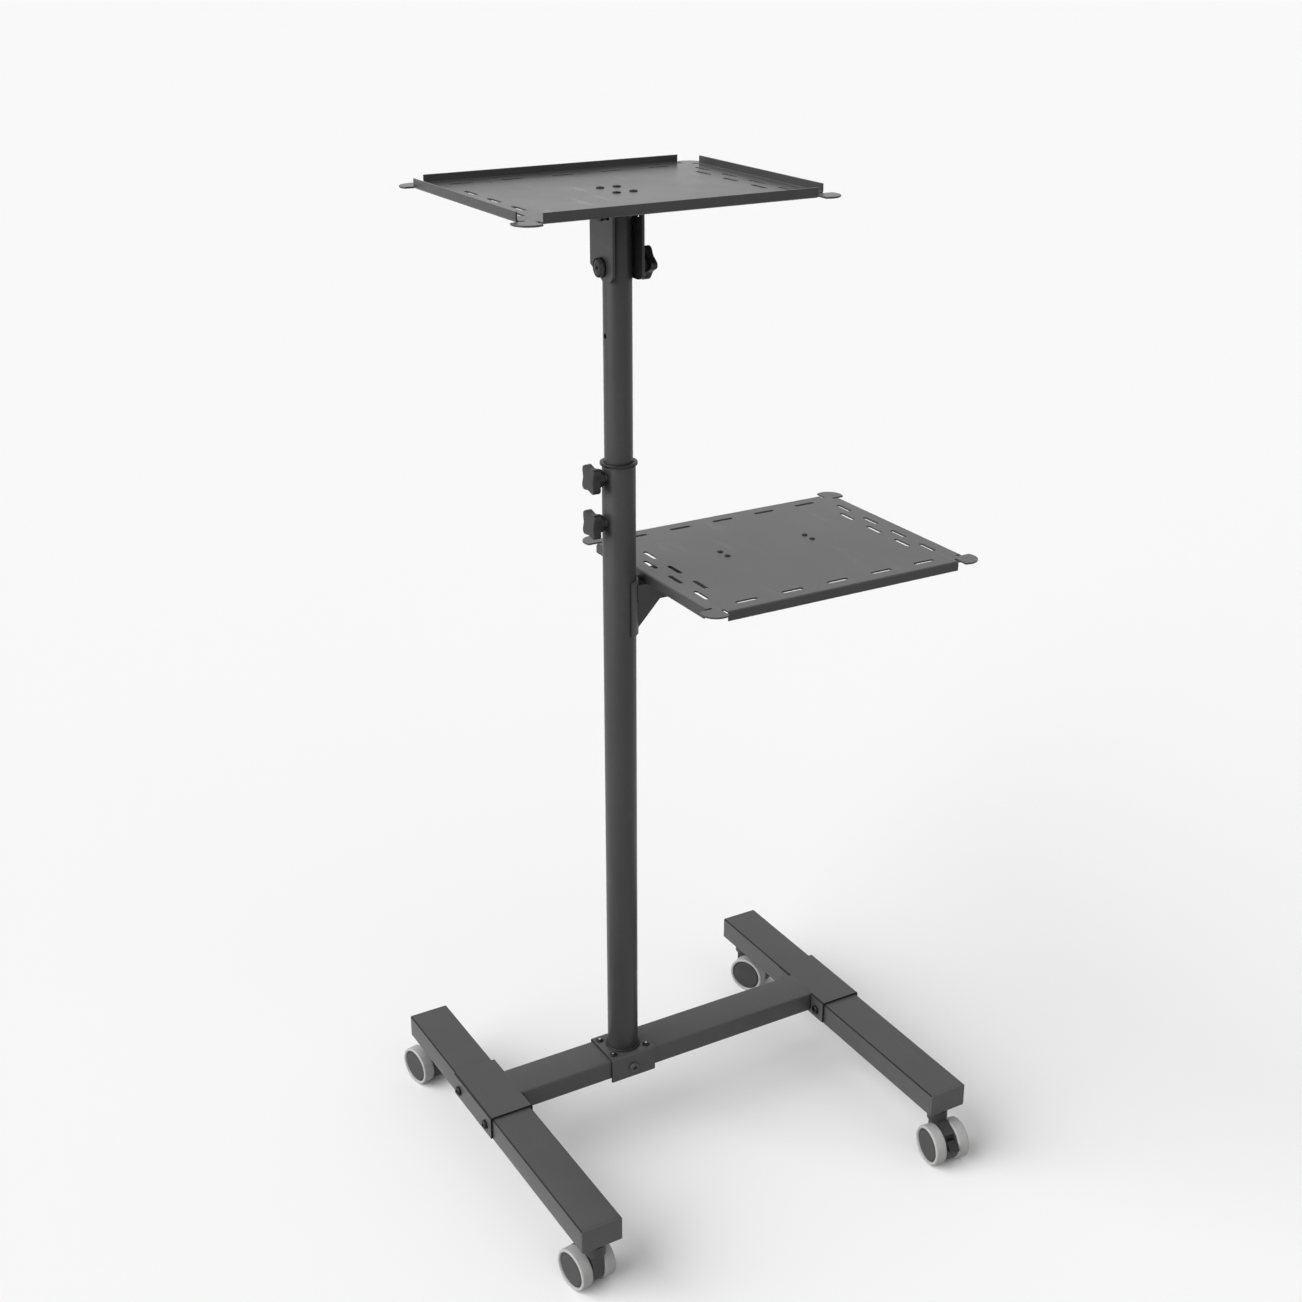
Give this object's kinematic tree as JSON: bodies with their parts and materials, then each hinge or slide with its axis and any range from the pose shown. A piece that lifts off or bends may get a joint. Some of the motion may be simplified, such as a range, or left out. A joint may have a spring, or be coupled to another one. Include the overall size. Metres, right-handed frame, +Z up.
{
  "type": "projector stand",
  "caption": "Wheeled stand with an H-shaped base, a telescopic mast clamped by knobs, a tilting upper tray for a projector and a fixed lower tray on a side arm.",
  "frame": {"origin": "On the floor, under the middle of the stand's bounding box, with the height and tilt as pictured.", "axes": "+Z up the mast; +Y runs along the legs from the front to the rear; +X runs from the mast's knob side toward the lower tray."},
  "size_m": [0.6058, 0.534, 1.18],
  "materials": {
    "powder_coat": "satin charcoal powder coat",
    "end_cap": "charcoal moulded plastic",
    "black_plastic": "black moulded plastic",
    "blackened_steel": "blackened steel",
    "zinc_steel": "zinc plated steel",
    "tyre": "light grey rubber",
    "caster_plastic": "dark grey moulded plastic"
  },
  "bodies": {
    "base": {"crossbeam": "powder_coat", "sleeve_left": "powder_coat", "sleeve_right": "powder_coat", "leg_left": "powder_coat", "leg_right": "powder_coat", "leg_end_cap_front_left": "end_cap", "leg_end_cap_front_right": "end_cap", "leg_end_cap_rear_left": "end_cap", "leg_end_cap_rear_right": "end_cap", "foot_bracket": "powder_coat", "foot_bolt": "blackened_steel", "lower_tube": "powder_coat", "mast_collar": "black_plastic", "tray_saddle": "powder_coat", "tray_arm": "powder_coat", "laptop_tray": "powder_coat", "sleeve_bolt_front_left": "blackened_steel", "sleeve_bolt_front_right": "blackened_steel", "sleeve_bolt_rear_left": "blackened_steel", "sleeve_bolt_rear_right": "blackened_steel", "caster_plate_front_left": "blackened_steel", "caster_plate_front_right": "blackened_steel", "caster_plate_rear_left": "blackened_steel", "caster_plate_rear_right": "blackened_steel"},
    "mast": {"upper_tube": "powder_coat", "upper_tube_plug": "black_plastic", "pivot_bolt": "blackened_steel", "tilt_stop_bolt": "blackened_steel", "tilt_spacer": "black_plastic"},
    "tilt_head": {"tilt_bracket": "powder_coat", "projector_tray": "powder_coat"},
    "knob_tilt": {"tilt_knob": "black_plastic"},
    "knob_height_upper": {"height_knob_upper": "black_plastic"},
    "knob_height_lower": {"height_knob_lower": "black_plastic"},
    "swivel_front_left": {"caster_hood_front_left": "caster_plastic", "caster_axle_front_left": "zinc_steel"},
    "wheel_front_left_a": {"tyre_front_left_a": "tyre", "hub_front_left_a": "caster_plastic"},
    "wheel_front_left_b": {"tyre_front_left_b": "tyre", "hub_front_left_b": "caster_plastic"},
    "pedal_front_left": {"brake_pedal_front_left": "black_plastic"},
    "swivel_front_right": {"caster_hood_front_right": "caster_plastic", "caster_axle_front_right": "zinc_steel"},
    "wheel_front_right_a": {"tyre_front_right_a": "tyre", "hub_front_right_a": "caster_plastic"},
    "wheel_front_right_b": {"tyre_front_right_b": "tyre", "hub_front_right_b": "caster_plastic"},
    "pedal_front_right": {"brake_pedal_front_right": "black_plastic"},
    "swivel_rear_left": {"caster_hood_rear_left": "caster_plastic", "caster_axle_rear_left": "zinc_steel"},
    "wheel_rear_left_a": {"tyre_rear_left_a": "tyre", "hub_rear_left_a": "caster_plastic"},
    "wheel_rear_left_b": {"tyre_rear_left_b": "tyre", "hub_rear_left_b": "caster_plastic"},
    "swivel_rear_right": {"caster_hood_rear_right": "caster_plastic", "caster_axle_rear_right": "zinc_steel"},
    "wheel_rear_right_a": {"tyre_rear_right_a": "tyre", "hub_rear_right_a": "caster_plastic"},
    "wheel_rear_right_b": {"tyre_rear_right_b": "tyre", "hub_rear_right_b": "caster_plastic"}
  },
  "joints": [
    {"name": "mast_height", "type": "slide", "parent": "base", "child": "mast", "axis": [0, 0, 1], "range_m": [-0.195, 0.15]},
    {"name": "tray_tilt", "type": "hinge", "parent": "mast", "child": "tilt_head", "pos_m": [-0.0878, 0.04201, 1.092], "axis": [1, 0, 0], "range_deg": [-15, 15]},
    {"name": "tilt_knob_turn", "type": "hinge", "parent": "mast", "child": "knob_tilt", "pos_m": [-0.0649, 0.04201, 1.092], "axis": [1, 0, 0], "range_deg": [0, 360]},
    {"name": "height_knob_upper_turn", "type": "hinge", "parent": "base", "child": "knob_height_upper", "pos_m": [-0.1098, 0.04201, 0.8604], "axis": [-1, 0, 0], "range_deg": [0, 360]},
    {"name": "height_knob_lower_turn", "type": "hinge", "parent": "base", "child": "knob_height_lower", "pos_m": [-0.1098, 0.04201, 0.8079], "axis": [-1, 0, 0], "range_deg": [0, 360]},
    {"name": "caster_swivel_front_left", "type": "hinge", "parent": "base", "child": "swivel_front_left", "pos_m": [-0.2708, -0.22098, 0.061], "axis": [0, 0, 1], "continuous": true},
    {"name": "wheel_spin_front_left_a", "type": "hinge", "parent": "swivel_front_left", "child": "wheel_front_left_a", "pos_m": [-0.27318, -0.20506, 0.025], "axis": [0.989, 0.1478, 0], "continuous": true},
    {"name": "wheel_spin_front_left_b", "type": "hinge", "parent": "swivel_front_left", "child": "wheel_front_left_b", "pos_m": [-0.27318, -0.20506, 0.025], "axis": [0.989, 0.1478, 0], "continuous": true},
    {"name": "brake_pedal_front_left", "type": "hinge", "parent": "swivel_front_left", "child": "pedal_front_left", "pos_m": [-0.27562, -0.18874, 0.0335], "axis": [0.989, 0.1478, 0], "range_deg": [0, 22]},
    {"name": "caster_swivel_front_right", "type": "hinge", "parent": "base", "child": "swivel_front_right", "pos_m": [0.2132, -0.22098, 0.061], "axis": [0, 0, 1], "continuous": true},
    {"name": "wheel_spin_front_right_a", "type": "hinge", "parent": "swivel_front_right", "child": "wheel_front_right_a", "pos_m": [0.21138, -0.23698, 0.025], "axis": [-0.9936, 0.1132, 0], "continuous": true},
    {"name": "wheel_spin_front_right_b", "type": "hinge", "parent": "swivel_front_right", "child": "wheel_front_right_b", "pos_m": [0.21138, -0.23698, 0.025], "axis": [-0.9936, 0.1132, 0], "continuous": true},
    {"name": "brake_pedal_front_right", "type": "hinge", "parent": "swivel_front_right", "child": "pedal_front_right", "pos_m": [0.20951, -0.25338, 0.0335], "axis": [-0.9936, 0.1132, 0], "range_deg": [0, 22]},
    {"name": "caster_swivel_rear_left", "type": "hinge", "parent": "base", "child": "swivel_rear_left", "pos_m": [-0.2708, 0.22251, 0.061], "axis": [0, 0, 1], "continuous": true},
    {"name": "wheel_spin_rear_left_a", "type": "hinge", "parent": "swivel_rear_left", "child": "wheel_rear_left_a", "pos_m": [-0.27387, 0.23832, 0.025], "axis": [0.9816, 0.1908, 0], "continuous": true},
    {"name": "wheel_spin_rear_left_b", "type": "hinge", "parent": "swivel_rear_left", "child": "wheel_rear_left_b", "pos_m": [-0.27387, 0.23832, 0.025], "axis": [0.9816, 0.1908, 0], "continuous": true},
    {"name": "caster_swivel_rear_right", "type": "hinge", "parent": "base", "child": "swivel_rear_right", "pos_m": [0.2132, 0.22251, 0.061], "axis": [0, 0, 1], "continuous": true},
    {"name": "wheel_spin_rear_right_a", "type": "hinge", "parent": "swivel_rear_right", "child": "wheel_rear_right_a", "pos_m": [0.22051, 0.20817, 0.025], "axis": [-0.891, -0.454, 0], "continuous": true},
    {"name": "wheel_spin_rear_right_b", "type": "hinge", "parent": "swivel_rear_right", "child": "wheel_rear_right_b", "pos_m": [0.22051, 0.20817, 0.025], "axis": [-0.891, -0.454, 0], "continuous": true}
  ]
}
